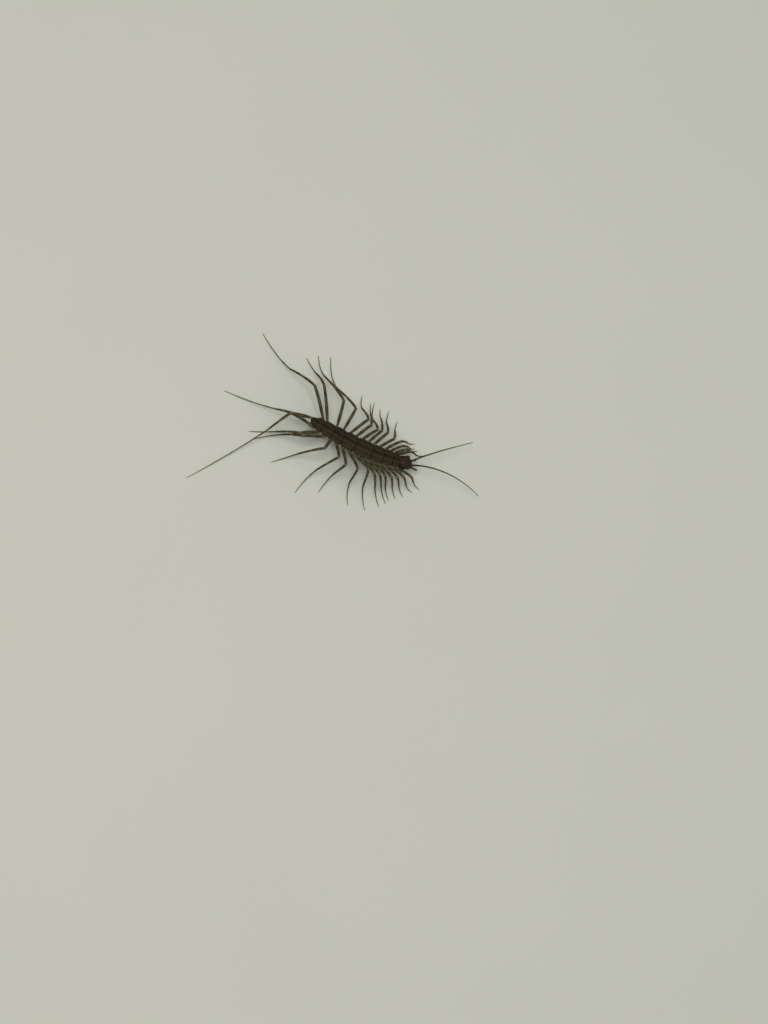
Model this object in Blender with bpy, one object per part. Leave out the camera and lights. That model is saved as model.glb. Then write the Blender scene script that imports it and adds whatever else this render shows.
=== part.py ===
"""House centipede at life size, a still model in its walking stance.

Frame: metres, +Z up, floor at z = 0. +X runs from tail to head and +Y is the animal's left side.
Sizes below are in millimetres and degrees. MM turns millimetres into metres where a mesh is made.
The origin is the middle of the whole animal's footprint, feelers and feet included, on the floor.
"""
import math

import bmesh
import bpy
from mathutils import Matrix, Vector

MM = 0.001
GAP = 0.15  # clear space between two pieces that touch in life
SIDES = {"left": 1.0, "right": -1.0}

# The spine, walked from the front of the head (0) to the tail tip (BODY_LENGTH)
BODY_LENGTH = 28.2
HEAD_FRONT = (16.57, 2.60)
HEAD_HEADING = 20.0
TAIL_HEADING = -9.0
SPINE_BEND = 2.4  # a higher power keeps more of the bend near the head
SPINE_HEIGHT = 3.7
NECK_DIP = 0.35
NECK_DIP_LENGTH = 7.0
SPINE_STEPS = 282

# Head
HEAD_LENGTH = 3.4
HEAD_HALF_WIDTH = 1.7
HEAD_CROWN = 0.98
HEAD_CHIN = 0.72
HEAD_WIDEST = 0.55  # share of the head's length
HEAD_BLUNTNESS = 2.0  # power of the front's outline: 2 is an ellipse, more is squarer
HEAD_REAR_TAPER = 0.18  # share of the width lost at the neck
HEAD_REAR_FALL = 0.12  # share of the crown lost at the neck
HEAD_STATIONS = (0.03, 0.10, 0.24, 0.42, 0.60, 0.78, 0.92, 1.0)
HEAD_SIDES = 14
EYE_AT = 1.15
EYE_RADII = (0.56, 0.36, 0.48)
EYE_SUNK = 0.08
EYE_LIFT = 0.2
EYE_MERIDIANS = 12
EYE_PARALLELS = 7

# Trunk. Its cross section is given as share of the half width and height above the spine.
TRUNK_START = HEAD_LENGTH + GAP
TRUNK_END = 26.4
TRUNK_TOP = 0.25
TRUNK_OUTLINE = ((1.0, TRUNK_TOP), (1.0, -0.3), (0.88, -0.72), (0.5, -1.0), (0.0, -1.08))
TRUNK_STATIONS = 15
TRUNK_END_TAPER = 0.22  # share of the section lost at both ends
TRUNK_END_SHARPNESS = 8  # a higher power keeps the taper closer to the ends

# Back plates. Stations are shares of a plate's length, of the back's half width and of the crown.
NECK_HALF_WIDTH = 1.72
BACK_SWELL = 0.58
BACK_SWELL_SHIFT = 0.85  # below 1 the broadest place lies nearer the head
PLATE_OVERHANG = 0.62
PLATE_LIFT = TRUNK_TOP + GAP
PLATE_EDGE = 0.24
PLATE_CROWN = 0.6
PLATE_LENGTHS = (1.6, 2.5, 3.0, 4.5, 3.5, 3.0, 3.1, 1.9)
PLATE_STATIONS = ((0.0, 0.90, 0.64), (0.2, 0.97, 0.92), (0.6, 1.0, 1.0), (0.88, 0.98, 0.97),
                  (1.0, 0.84, 0.88))
PLATE_ARCH_POINTS = 7
TAIL_WIDTH = 0.8  # share of the back's half width where the tail starts
TAIL_CROWN = 0.54
TAIL_STATIONS = ((0.0, 1.0, 1.0), (0.35, 0.9, 0.95), (0.7, 0.68, 0.8), (1.0, 0.3, 0.4))

# Legs, 15 to a side
LEGS = 15
FIRST_LEG = 3.8
LEG_ROW = 21.45  # along the spine from the first leg to the fourteenth
LEG_SPREAD = 1.15  # above 1 the legs stand closer together near the head
COXA_DROP = 0.4
COXA_REACH = 0.5
LAST_COXA_SIDE = 0.62  # the last pair leaves the trunk's end, under the tail
LAST_HIP_SIDE = 0.9
KNEE_HEIGHT = 4.7
KNEE_RISE = 0.07  # added for each leg towards the tail
ANKLE_HEIGHT = 1.9
TOE_HEIGHT = 0.24
LEG_SIDES = 8
COXA_RADIUS = 0.42
THIGH_RADIUS = 0.38
SHIN_RADIUS = 0.31
FOOT_RADIUS = 0.272
LEG_SLIMNESS = 0.9  # thickness of the thinnest leg, as a share of these radii
LEG_GROWTH = 0.16  # added to that share by the last leg
JOINT_TAPER = 0.08  # share of the radius lost along a thigh or a shin
HIP_TAPER = 0.04
THIGH_STATIONS = (0.35, 0.8, 1.0)
SHIN_STATIONS = (0.25, 0.6, 1.0)
SHIN_DROP = 1.5  # power of the shin's fall from knee to ankle
FOOT_STATIONS = (0.25, 0.5, 0.75, 0.92, 1.0)
FOOT_PULL = 0.4  # share of the foot's length that its bend is drawn out to

# Each leg seen from above: thigh, shin and foot as (length, heading). A heading is in degrees forward
# of straight out from the body.
LEFT_STANCE = {
    1: ((2.8, 61), (2.4, 64), (3.4, 57)),
    2: ((2.4, 56), (2.6, 48), (2.6, 56)),
    3: ((2.8, 50), (3.1, 50), (2.2, 62)),
    4: ((4.1, 45), (3.0, 48), (2.6, 64)),
    5: ((4.1, 42), (3.4, 2), (3.5, 2)),
    6: ((4.5, 30), (3.8, -8), (4.1, 0)),
    7: ((4.5, 31), (4.2, -8), (3.3, -13)),
    8: ((4.1, 41), (4.1, -20), (5.3, -6)),
    9: ((4.5, 34), (4.3, -5), (3.6, -9)),
    10: ((5.7, 33), (4.1, -26), (4.1, -10)),
    11: ((6.2, 9), (7.4, -51), (9.0, -23)),
    12: ((6.8, -7), (8.4, -46), (6.0, -27)),
    13: ((9.1, -27), (4.6, -29), (5.0, -41)),
    14: ((8.8, -37), (7.6, -63), (11.4, -52)),
    15: ((5.5, -105), (3.9, -86), (13.3, -88)),
}
RIGHT_STANCE = {
    1: ((3.8, 70), (1.7, 96), (2.4, 76)),
    2: ((3.6, 58), (1.9, 78), (2.4, 77)),
    3: ((3.8, 52), (1.9, 67), (2.5, 56)),
    4: ((4.2, 49), (1.7, 62), (2.8, 45)),
    5: ((4.2, 49), (2.0, 48), (3.3, 42)),
    6: ((4.6, 49), (2.6, 49), (3.9, 43)),
    7: ((5.1, 49), (3.0, 40), (4.3, 38)),
    8: ((5.0, 52), (3.3, 10), (5.8, 27)),
    9: ((5.3, 36), (2.6, -7), (5.5, 17)),
    10: ((5.1, 20), (3.0, -38), (5.2, -18)),
    11: ((4.1, 18), (5.6, -44), (7.4, -23)),
    12: ((3.6, -16), (6.0, -65), (6.7, -53)),
    13: ((6.0, -63), (4.9, -85), (6.8, -61)),
    14: ((5.5, -56), (5.2, -86), (6.3, -73)),
    15: ((5.7, -84), (6.1, -35), (24.2, -38)),
}
# Single legs apart from their row: height of the knee and of the ankle, and place along the spine
KNEE_CHANGES = {("left", 8): 0.6, ("left", 7): -0.4, ("left", 15): -1.3, ("right", 15): 0.5,
                ("right", 13): -0.6}
ANKLE_CHANGES = {("left", 15): 0.7, ("left", 11): 0.4, ("right", 15): 1.3, ("right", 13): -0.2}
ROOT_CHANGES = {("left", 13): 0.75}

STANCES = {"left": LEFT_STANCE, "right": RIGHT_STANCE}

# Feelers: length seen from above, heading at base and tip, height of the tip
FEELERS = {"left": (17.5, 41.0, 39.0, 3.0), "right": (19.0, 14.0, -22.0, 2.1)}
FEELER_SIDE = 0.62
FEELER_LIFT = 0.1
FEELER_RADII = (0.34, 0.272)
FEELER_ARCH = 0.9
FEELER_ARCH_SHIFT = 0.6  # below 1 the arch is highest nearer the head
FEELER_SAG = 2  # power of the fall towards the tip
FEELER_CURL = 1.2  # above 1 more of the turn comes near the tip
FEELER_RINGS = 15
FEELER_SIDES = 8

# Mouthparts, as places along the spine, to the side and above it
PALP_ROUTE = ((0.3, 0.62, -0.95), (-0.6, 1.05, -1.0), (-1.4, 1.35, -1.35), (-1.9, 1.15, -2.1))
PALP_RADII = (0.3, 0.3, 0.28, 0.27)
MOUTH_SIDES = 8
CLAW_ROUTE = ((3.3, 0.95, -1.3), (2.5, 1.3, -1.34), (1.7, 1.15, -1.34), (1.05, 0.55, -1.32))
CLAW_RADII = (0.36, 0.36, 0.32, 0.27)

# Colours are linear red, green and blue. Roughness runs from 0, a mirror, to 1, chalk.
SHELL_BROWN = (0.030, 0.021, 0.011)
TRUNK_BROWN = (0.060, 0.046, 0.024)
HEAD_BROWN = (0.042, 0.023, 0.013)
EYE_BLACK = (0.008, 0.007, 0.006)
LEG_OLIVE = (0.070, 0.062, 0.028)
FEELER_OLIVE = (0.085, 0.072, 0.036)
SHELL_ROUGHNESS = 0.42
HEAD_ROUGHNESS = 0.38
EYE_ROUGHNESS = 0.2
LIMB_ROUGHNESS = 0.5
SHELL_CREASE = 40.0  # sharper edges than this angle stay crisp
LIMB_CREASE = 60.0


def clear_scene():
    """Remove everything that a new file holds."""
    for item in list(bpy.context.scene.objects):
        bpy.data.objects.remove(item)


def spine_heading(s):
    """Direction of the spine at s millimetres behind the head's front, in radians from +X."""
    left = max(0.0, 1.0 - s / BODY_LENGTH)
    return math.radians(TAIL_HEADING + (HEAD_HEADING - TAIL_HEADING) * left ** SPINE_BEND)


def walk_spine():
    """Places on the spine at even steps, found by walking back from the head along its heading."""
    step = BODY_LENGTH / SPINE_STEPS
    places = [Vector((*HEAD_FRONT, 0.0))]
    for k in range(SPINE_STEPS):
        turn = spine_heading((k + 0.5) * step)
        places.append(places[-1] - step * Vector((math.cos(turn), math.sin(turn), 0.0)))
    return places


SPINE = walk_spine()


def body_place(s, side, up):
    """The point s behind the head's front, side to the left of the spine and up above it."""
    turn = spine_heading(s)
    forward = Vector((math.cos(turn), math.sin(turn), 0.0))
    position = s / BODY_LENGTH * SPINE_STEPS
    index = min(max(int(position), 0), SPINE_STEPS - 1)
    base = SPINE[index].lerp(SPINE[index + 1], position - index)
    if s < 0.0:
        base = SPINE[0] - s * forward
    dip = NECK_DIP * max(0.0, 1.0 - max(s, 0.0) / NECK_DIP_LENGTH) ** 2
    left = Vector((-forward.y, forward.x, 0.0))
    return base + side * left + Vector((0.0, 0.0, SPINE_HEIGHT - dip + up))


def make_node(name, shape, origin, colour, roughness, crease):
    """Turn a bmesh in millimetres into a named object with a material of its own. The object's own
    origin goes to the place where the piece joins the rest."""
    bmesh.ops.recalc_face_normals(shape, faces=shape.faces)
    shape.transform(Matrix.Scale(MM, 4) @ Matrix.Translation(-origin))
    mesh = bpy.data.meshes.new(name)
    shape.to_mesh(mesh)
    shape.free()
    mesh.shade_smooth()
    mesh.set_sharp_from_angle(angle=math.radians(crease))
    material = bpy.data.materials.new(name)
    material.use_nodes = True
    surface = material.node_tree.nodes["Principled BSDF"]
    surface.inputs["Base Color"].default_value = (*colour, 1.0)
    surface.inputs["Roughness"].default_value = roughness
    surface.inputs["Metallic"].default_value = 0.0
    mesh.materials.append(material)
    node = bpy.data.objects.new(name, mesh)
    node.location = MM * origin
    bpy.context.scene.collection.objects.link(node)
    return node


def loft(rings):
    """Skin a row of rings, each with the same number of points, and close both ends."""
    shape = bmesh.new()
    loops = [[shape.verts.new(point) for point in ring] for ring in rings]
    for low, high in zip(loops, loops[1:]):
        for k in range(len(low)):
            after = (k + 1) % len(low)
            shape.faces.new((low[k], low[after], high[after], high[k]))
    shape.faces.new(loops[0][::-1])
    shape.faces.new(loops[-1])
    return shape


def tube(points, radii, sides):
    """A round rod along points. No part of it goes below the floor, so a low end gets a flat sole."""
    rings = []
    for k, (point, radius) in enumerate(zip(points, radii)):
        along = (points[min(k + 1, len(points) - 1)] - points[max(k - 1, 0)]).normalized()
        across = along.cross(Vector((0.0, 0.0, 1.0))).normalized()
        lift = across.cross(along)
        ring = []
        for n in range(sides):
            angle = 2.0 * math.pi * (n + 0.5) / sides
            corner = point + radius * (math.cos(angle) * across + math.sin(angle) * lift)
            corner.z = max(corner.z, 0.0)
            ring.append(corner)
        rings.append(ring)
    return loft(rings)


def plate_half_width(s):
    """Half the width of the back at s: broadest before the middle, narrower at neck and tail."""
    share = min(max((s - HEAD_LENGTH) / (TRUNK_END - HEAD_LENGTH), 0.0), 1.0)
    return NECK_HALF_WIDTH + BACK_SWELL * math.sin(math.pi * share ** BACK_SWELL_SHIFT)


def trunk_half_width(s):
    """Half the width of the body under the back plates."""
    return plate_half_width(s) - PLATE_OVERHANG


def head_fullness(share):
    """How much of its full width and height the head has at a share of its length."""
    front = max(0.0, 1.0 - share / HEAD_WIDEST)
    return math.sqrt(1.0 - front ** HEAD_BLUNTNESS)


def build_head():
    """The domed head, with a socket cut for each eye."""
    rings = []
    for share in HEAD_STATIONS:
        fullness = head_fullness(share)
        rear = max(0.0, share - HEAD_WIDEST) / (1.0 - HEAD_WIDEST)
        half = HEAD_HALF_WIDTH * fullness * (1.0 - HEAD_REAR_TAPER * rear ** 2)
        crown = HEAD_CROWN * (1.0 - HEAD_REAR_FALL * rear ** 2)
        ring = []
        for n in range(HEAD_SIDES):
            angle = 2.0 * math.pi * n / HEAD_SIDES
            height = crown if math.sin(angle) > 0.0 else HEAD_CHIN
            up = height * fullness * math.sin(angle)
            ring.append(body_place(share * HEAD_LENGTH, half * math.cos(angle), up))
        rings.append(ring)
    neck = body_place(HEAD_LENGTH, 0.0, 0.0)
    head = make_node("head", loft(rings), neck, HEAD_BROWN, HEAD_ROUGHNESS, SHELL_CREASE)
    for side, sign in SIDES.items():
        make_eye("eye_" + side, sign, 0.0)
        cutter = make_eye("socket_" + side, sign, GAP)
        cutter.hide_render = True
        cutter.display_type = "WIRE"
        cut = head.modifiers.new("socket_" + side, "BOOLEAN")
        cut.operation = "DIFFERENCE"
        cut.solver = "EXACT"
        cut.object = cutter


def make_eye(name, sign, growth):
    """An oval eye on the head's side, longest along the head and larger on every side by growth."""
    half = HEAD_HALF_WIDTH * head_fullness(EYE_AT / HEAD_LENGTH)
    centre = body_place(EYE_AT, sign * (half - EYE_SUNK), EYE_LIFT)
    shape = bmesh.new()
    bmesh.ops.create_uvsphere(shape, u_segments=EYE_MERIDIANS, v_segments=EYE_PARALLELS, radius=1.0)
    bmesh.ops.scale(shape, vec=[radius + growth for radius in EYE_RADII], verts=shape.verts)
    bmesh.ops.translate(shape, vec=centre, verts=shape.verts)
    eye = make_node(name, shape, centre, EYE_BLACK, EYE_ROUGHNESS, SHELL_CREASE)
    eye.rotation_euler.z = spine_heading(EYE_AT)
    return eye


def build_trunk():
    """The body under the back plates, flat on top and rounded below."""
    mirrored = tuple((-x, z) for x, z in reversed(TRUNK_OUTLINE[:-1]))
    rings = []
    for k in range(TRUNK_STATIONS):
        share = k / (TRUNK_STATIONS - 1)
        s = TRUNK_START + share * (TRUNK_END - TRUNK_START)
        half = trunk_half_width(s)
        taper = 1.0 - TRUNK_END_TAPER * (2.0 * share - 1.0) ** TRUNK_END_SHARPNESS
        ring = []
        for x, z in TRUNK_OUTLINE + mirrored:
            ring.append(body_place(s, x * half * taper, z if z > 0.0 else z * taper))
        rings.append(ring)
    neck = body_place(TRUNK_START, 0.0, 0.0)
    make_node("trunk", loft(rings), neck, TRUNK_BROWN, LIMB_ROUGHNESS, SHELL_CREASE)


def plate_ring(s, half, crown):
    """One arched cross section of a back plate, flat underneath."""
    ring = [body_place(s, -half, PLATE_LIFT), body_place(s, half, PLATE_LIFT)]
    for k in range(PLATE_ARCH_POINTS):
        angle = math.pi * k / (PLATE_ARCH_POINTS - 1)
        up = PLATE_LIFT + PLATE_EDGE + crown * math.sin(angle)
        ring.append(body_place(s, half * math.cos(angle), up))
    return ring


def build_back_plates():
    """Arched plates in a row, each lowest in front, widest behind its middle and rounded at the rear."""
    start = TRUNK_START
    for number, length in enumerate(PLATE_LENGTHS, 1):
        rings = []
        for share, width, crown in PLATE_STATIONS:
            s = start + share * (length - GAP)
            rings.append(plate_ring(s, width * plate_half_width(s), crown * PLATE_CROWN))
        front = body_place(start, 0.0, PLATE_LIFT)
        make_node(f"back_plate_{number}", loft(rings), front, SHELL_BROWN, SHELL_ROUGHNESS, SHELL_CREASE)
        start += length


def build_tail():
    """The blunt end piece behind the last back plate, above the last pair of legs."""
    start = TRUNK_START + sum(PLATE_LENGTHS)
    half = TAIL_WIDTH * plate_half_width(start)
    rings = []
    for share, width, crown in TAIL_STATIONS:
        s = start + share * (BODY_LENGTH - start)
        rings.append(plate_ring(s, width * half, crown * TAIL_CROWN))
    front = body_place(start, 0.0, PLATE_LIFT)
    make_node("tail", loft(rings), front, SHELL_BROWN, SHELL_ROUGHNESS, SHELL_CREASE)


def out_and_ahead(sign, heading):
    """Unit vector on the floor plane, heading degrees forward of straight out to one side."""
    turn = math.radians(heading)
    return Vector((math.sin(turn), sign * math.cos(turn), 0.0))


def leg_base(side, number):
    """Where a leg leaves the trunk and where its short first joint ends."""
    sign = SIDES[side]
    if number == LEGS:
        root = body_place(TRUNK_END + GAP, sign * LAST_COXA_SIDE, -COXA_DROP)
        return root, body_place(BODY_LENGTH, sign * LAST_HIP_SIDE, -COXA_DROP)
    s = FIRST_LEG + LEG_ROW * ((number - 1) / (LEGS - 2)) ** LEG_SPREAD
    s += ROOT_CHANGES.get((side, number), 0.0)
    reach = trunk_half_width(s) + GAP
    root = body_place(s, sign * reach, -COXA_DROP)
    return root, body_place(s, sign * (reach + COXA_REACH), -COXA_DROP)


def leg_line(side, number):
    """The middle line of a leg with the radius at each point, from the trunk to the toe."""
    sign = SIDES[side]
    (thigh, thigh_turn), (shin, shin_turn), (foot, foot_turn) = STANCES[side][number]
    growth = LEG_SLIMNESS + LEG_GROWTH * number / LEGS
    knee_height = KNEE_HEIGHT + KNEE_RISE * number + KNEE_CHANGES.get((side, number), 0.0)
    ankle_height = ANKLE_HEIGHT + ANKLE_CHANGES.get((side, number), 0.0)
    root, hip = leg_base(side, number)
    knee = hip + thigh * out_and_ahead(sign, thigh_turn)
    ankle = knee + shin * out_and_ahead(sign, shin_turn)
    toe = ankle + foot * out_and_ahead(sign, foot_turn)
    pull = ankle + FOOT_PULL * foot * out_and_ahead(sign, 0.5 * (shin_turn + foot_turn))

    points = [root, hip]
    radii = [COXA_RADIUS * growth, COXA_RADIUS * growth * (1.0 - HIP_TAPER)]
    for share in THIGH_STATIONS:
        point = hip.lerp(knee, share)
        point.z = hip.z + (knee_height - hip.z) * math.sin(share * math.pi / 2.0)
        points.append(point)
        radii.append(THIGH_RADIUS * growth * (1.0 - JOINT_TAPER * share))
    for share in SHIN_STATIONS:
        point = knee.lerp(ankle, share)
        point.z = ankle_height + (knee_height - ankle_height) * (1.0 - share ** SHIN_DROP)
        points.append(point)
        radii.append(SHIN_RADIUS * growth * (1.0 - JOINT_TAPER * share))
    for share in FOOT_STATIONS:
        point = ankle.lerp(pull, share).lerp(pull.lerp(toe, share), share)
        point.z = TOE_HEIGHT + (ankle_height - TOE_HEIGHT) * (1.0 - share) ** 2
        points.append(point)
        radii.append(FOOT_RADIUS)
    return points, radii


def build_legs():
    """Fifteen legs on each side, each standing on the floor with the end of its foot."""
    for side in SIDES:
        for number in range(1, LEGS + 1):
            points, radii = leg_line(side, number)
            shape = tube(points, radii, LEG_SIDES)
            name = f"leg_{side}_{number:02d}"
            make_node(name, shape, points[0], LEG_OLIVE, LIMB_ROUGHNESS, LIMB_CREASE)


def build_feelers():
    """The two long feelers, which leave the head's front and sink slowly towards their tips."""
    thick, thin = FEELER_RADII
    for side, (length, first_turn, last_turn, tip_height) in FEELERS.items():
        place = body_place(-GAP, SIDES[side] * FEELER_SIDE, FEELER_LIFT)
        base_height = place.z
        points = []
        radii = []
        for k in range(FEELER_RINGS):
            share = k / (FEELER_RINGS - 1)
            point = place.copy()
            point.z = base_height + FEELER_ARCH * math.sin(math.pi * share ** FEELER_ARCH_SHIFT)
            point.z += (tip_height - base_height) * share ** FEELER_SAG
            points.append(point)
            radii.append(thick + (thin - thick) * math.sqrt(share))
            turn = math.radians(first_turn + (last_turn - first_turn) * share ** FEELER_CURL)
            step = length / (FEELER_RINGS - 1)
            place = place + step * Vector((math.cos(turn), math.sin(turn), 0.0))
        shape = tube(points, radii, FEELER_SIDES)
        make_node("antenna_" + side, shape, points[0], FEELER_OLIVE, LIMB_ROUGHNESS, LIMB_CREASE)


def build_mouthpart(name, route, radii):
    """One rod on each side of the mouth, along a route of places beside the spine."""
    for side, sign in SIDES.items():
        points = [body_place(s, sign * out, up) for s, out, up in route]
        shape = tube(points, radii, MOUTH_SIDES)
        make_node(name + side, shape, points[0], LEG_OLIVE, LIMB_ROUGHNESS, LIMB_CREASE)


def gather_pieces():
    """Hang every piece on one empty at the middle of the footprint, which moves the whole animal."""
    carrier = bpy.data.objects.new("centipede", None)
    for piece in bpy.context.scene.objects:
        piece.parent = carrier
    bpy.context.scene.collection.objects.link(carrier)


clear_scene()
build_head()
build_trunk()
build_back_plates()
build_tail()
build_legs()
build_feelers()
build_mouthpart("palp_", PALP_ROUTE, PALP_RADII)
build_mouthpart("poison_claw_", CLAW_ROUTE, CLAW_RADII)
gather_pieces()
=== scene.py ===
"""Looks of the life-size house centipede: shell, skin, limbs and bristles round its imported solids.

Sizes are in millimetres and angles in degrees, in the model's own frame: +X runs from tail to head, +Y is
the animal's left side and the floor is at z = 0. MM turns millimetres into metres where a mesh is made.
A place on the body is s behind the head's front along the spine, side to its left and up above it.
"""
import math

import bpy
import numpy as np
from mathutils import Matrix


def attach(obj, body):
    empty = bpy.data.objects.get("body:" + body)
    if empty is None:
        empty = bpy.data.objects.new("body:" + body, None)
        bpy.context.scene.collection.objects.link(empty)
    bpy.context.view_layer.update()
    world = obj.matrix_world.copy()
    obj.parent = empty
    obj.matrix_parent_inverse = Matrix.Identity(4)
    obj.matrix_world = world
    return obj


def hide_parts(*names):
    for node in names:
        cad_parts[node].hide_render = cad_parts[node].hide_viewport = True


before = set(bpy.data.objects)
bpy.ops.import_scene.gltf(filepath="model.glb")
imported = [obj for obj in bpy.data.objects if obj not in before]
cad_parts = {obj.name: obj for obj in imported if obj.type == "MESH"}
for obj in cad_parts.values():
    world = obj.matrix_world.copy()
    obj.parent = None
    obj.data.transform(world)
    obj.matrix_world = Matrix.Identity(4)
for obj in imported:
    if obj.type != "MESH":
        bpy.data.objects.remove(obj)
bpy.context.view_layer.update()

MM = 0.001
UP = np.array((0.0, 0.0, 1.0))
ROUND = 2.0 * math.pi
SIDES = (("left", 1.0), ("right", -1.0))

# The stance, as the solids have it
GAP = 0.15
BODY_LENGTH = 28.2
HEAD_FRONT = (16.57, 2.60)
HEAD_HEADING = 20.0
TAIL_HEADING = -9.0
SPINE_BEND = 2.4
SPINE_HEIGHT = 3.7
NECK_DIP = 0.35
NECK_DIP_LENGTH = 7.0
SPINE_STEPS = 282
HEAD_LENGTH = 3.4
HEAD_HALF_WIDTH = 1.7
HEAD_CROWN = 0.98
HEAD_CHIN = 0.72
HEAD_WIDEST = 0.55
HEAD_REAR_TAPER = 0.18
HEAD_REAR_FALL = 0.12
EYE_AT = 1.15
EYE_RADII = (0.56, 0.36, 0.48)
EYE_SUNK = 0.08
EYE_LIFT = 0.2
TRUNK_END = 26.4
NECK_HALF_WIDTH = 1.72
BACK_SWELL = 0.58
BACK_SWELL_SHIFT = 0.85
PLATE_OVERHANG = 0.62
PLATES_START = HEAD_LENGTH + GAP
PLATE_LENGTHS = (1.6, 2.5, 3.0, 4.5, 3.5, 3.0, 3.1, 1.9)
TAIL_START = PLATES_START + sum(PLATE_LENGTHS)
TAIL_WIDTH = 0.8
LEGS = 15
FIRST_LEG = 3.8
LEG_ROW = 21.45
LEG_SPREAD = 1.15
LEG_SPACING = LEG_ROW / (LEGS - 2)
COXA_DROP = 0.4
COXA_REACH = 0.5
ROOT_DEPTH = 0.6  # how far inside the trunk's side the line of a leg starts
LAST_COXA_SIDE = 0.62
LAST_HIP_SIDE = 0.9
KNEE_HEIGHT = 4.7
KNEE_RISE = 0.07
ANKLE_HEIGHT = 1.9
SHIN_DROP = 1.5
FOOT_PULL = 0.4

# Each leg from above: length of thigh, shin and foot, each with its angle forward of straight out
STANCES = {
    "left": (
        (2.8, 61, 2.4, 64, 3.4, 57), (2.4, 56, 2.6, 48, 2.6, 56), (2.8, 50, 3.1, 50, 2.2, 62),
        (4.1, 45, 3.0, 48, 2.6, 64), (4.1, 42, 3.4, 2, 3.5, 2), (4.5, 30, 3.8, -8, 4.1, 0),
        (4.5, 31, 4.2, -8, 3.3, -13), (4.1, 41, 4.1, -20, 5.3, -6), (4.5, 34, 4.3, -5, 3.6, -9),
        (5.7, 33, 4.1, -26, 4.1, -10), (6.2, 9, 7.4, -51, 9.0, -23), (6.8, -7, 8.4, -46, 6.0, -27),
        (9.1, -27, 4.6, -29, 5.0, -41), (8.8, -37, 7.6, -63, 11.4, -52), (5.5, -105, 3.9, -86, 13.3, -88),
    ),
    "right": (
        (3.8, 70, 1.7, 96, 2.4, 76), (3.6, 58, 1.9, 78, 2.4, 77), (3.8, 52, 1.9, 67, 2.5, 56),
        (4.2, 49, 1.7, 62, 2.8, 45), (4.2, 49, 2.0, 48, 3.3, 42), (4.6, 49, 2.6, 49, 3.9, 43),
        (5.1, 49, 3.0, 40, 4.3, 38), (5.0, 52, 3.3, 10, 5.8, 27), (5.3, 36, 2.6, -7, 5.5, 17),
        (5.1, 20, 3.0, -38, 5.2, -18), (4.1, 18, 5.6, -44, 7.4, -23), (3.6, -16, 6.0, -65, 6.7, -53),
        (6.0, -63, 4.9, -85, 6.8, -61), (5.5, -56, 5.2, -86, 6.3, -73), (5.7, -84, 6.1, -35, 24.2, -38),
    ),
}
# Single legs apart from their row: height of the knee and of the ankle, and place along the spine
KNEE_CHANGES = {("left", 8): 0.6, ("left", 7): -0.4, ("left", 15): -1.3, ("right", 15): 0.5,
                ("right", 13): -0.6}
ANKLE_CHANGES = {("left", 15): 0.7, ("left", 11): 0.4, ("right", 15): 1.3, ("right", 13): -0.2}
ROOT_CHANGES = {("left", 13): 0.75}

# Feelers: length from above, heading at base and tip, height of the tip
FEELERS = {"left": (17.5, 41.0, 39.0, 3.0), "right": (19.0, 14.0, -22.0, 2.1)}
FEELER_SIDE = 0.62
FEELER_LIFT = 0.1
FEELER_ARCH = 0.9
FEELER_ARCH_SHIFT = 0.6
FEELER_CURL = 1.2
FEELER_POINTS = 15

# Details that the solids leave out
RING, THIGH, SHIN, SECOND_SHIN, FOOT = range(1, 6)  # a leg's parts, after the coxa, which is part 0
TIP = 7  # where the foot's second part ends
RING_LENGTH = 0.34
SHIN_SPLIT = 0.46  # share of the shin before its second part
FOOT_SPLIT = 0.36
TOE_CLAW = 0.36  # length of the claw on a foot
FEELER_KNOTS = (0.16, 0.42)  # the two long joints, as shares of the whip
SKIN_START = 3.05
SKIN_END = 28.0
SHELL_THICKNESS = 0.12
HEAD_FORK = (1.55, 0.0)
EYE_FACETS = 300
BRISTLE_CURVE = 0.35
FLOOR_CLEARANCE = 0.01  # bristles that would end lower are left out

# Mouthparts: name, the solid it stands for, places of its joints, radii of its parts at start, belly and
# end, sides, hairs, height as a share of width, length of its dark tip
MOUTHPARTS = (
    ("palp_segments", "palp",
     ((0.75, 0.5, -0.8), (0.3, 0.62, -0.95), (-0.6, 1.05, -1.0), (-1.4, 1.35, -1.35), (-1.9, 1.15, -2.1)),
     ((0.22, 0.24, 0.22), (0.2, 0.24, 0.21), (0.18, 0.21, 0.18), (0.15, 0.16, 0.05)), 12, 260, 1.0, 0.5),
    ("poison_fang", "poison_claw",
     ((3.5, 0.6, -1.0), (3.1, 0.98, -1.26), (2.5, 1.3, -1.34), (1.7, 1.15, -1.34), (1.05, 0.55, -1.32)),
     ((0.36, 0.38, 0.34), (0.33, 0.37, 0.32), (0.28, 0.3, 0.25), (0.22, 0.2, 0.05)), 18, 200, 0.9, 1.1),
    ("claw_base", None, ((4.1, 0.3, -0.95), (3.5, 0.42, -1.12), (2.5, 0.4, -1.1)),
     ((0.34, 0.46, 0.46), (0.44, 0.46, 0.3)), 18, 60, 0.6, 0.2),
    ("jaw", None, ((1.9, 1.1, -0.5), (0.9, 0.85, -0.68), (0.3, 0.2, -0.72)),
     ((0.3, 0.36, 0.3), (0.28, 0.24, 0.07)), 16, 24, 0.8, 0.45),
    ("inner_lobe", None, ((2.3, 0.45, -0.75), (1.3, 0.42, -0.9), (0.62, 0.24, -0.92)),
     ((0.3, 0.3, 0.24), (0.22, 0.2, 0.1)), 16, 40, 0.7, 0.2),
)
LIP = (((0.75, 0.0, -0.38), (0.32, 0.0, -0.55), (0.22, 0.0, -0.78)),
       ((0.42, 0.44, 0.4), (0.38, 0.34, 0.16)), 18, 30, 0.42, 0.25)

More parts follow.
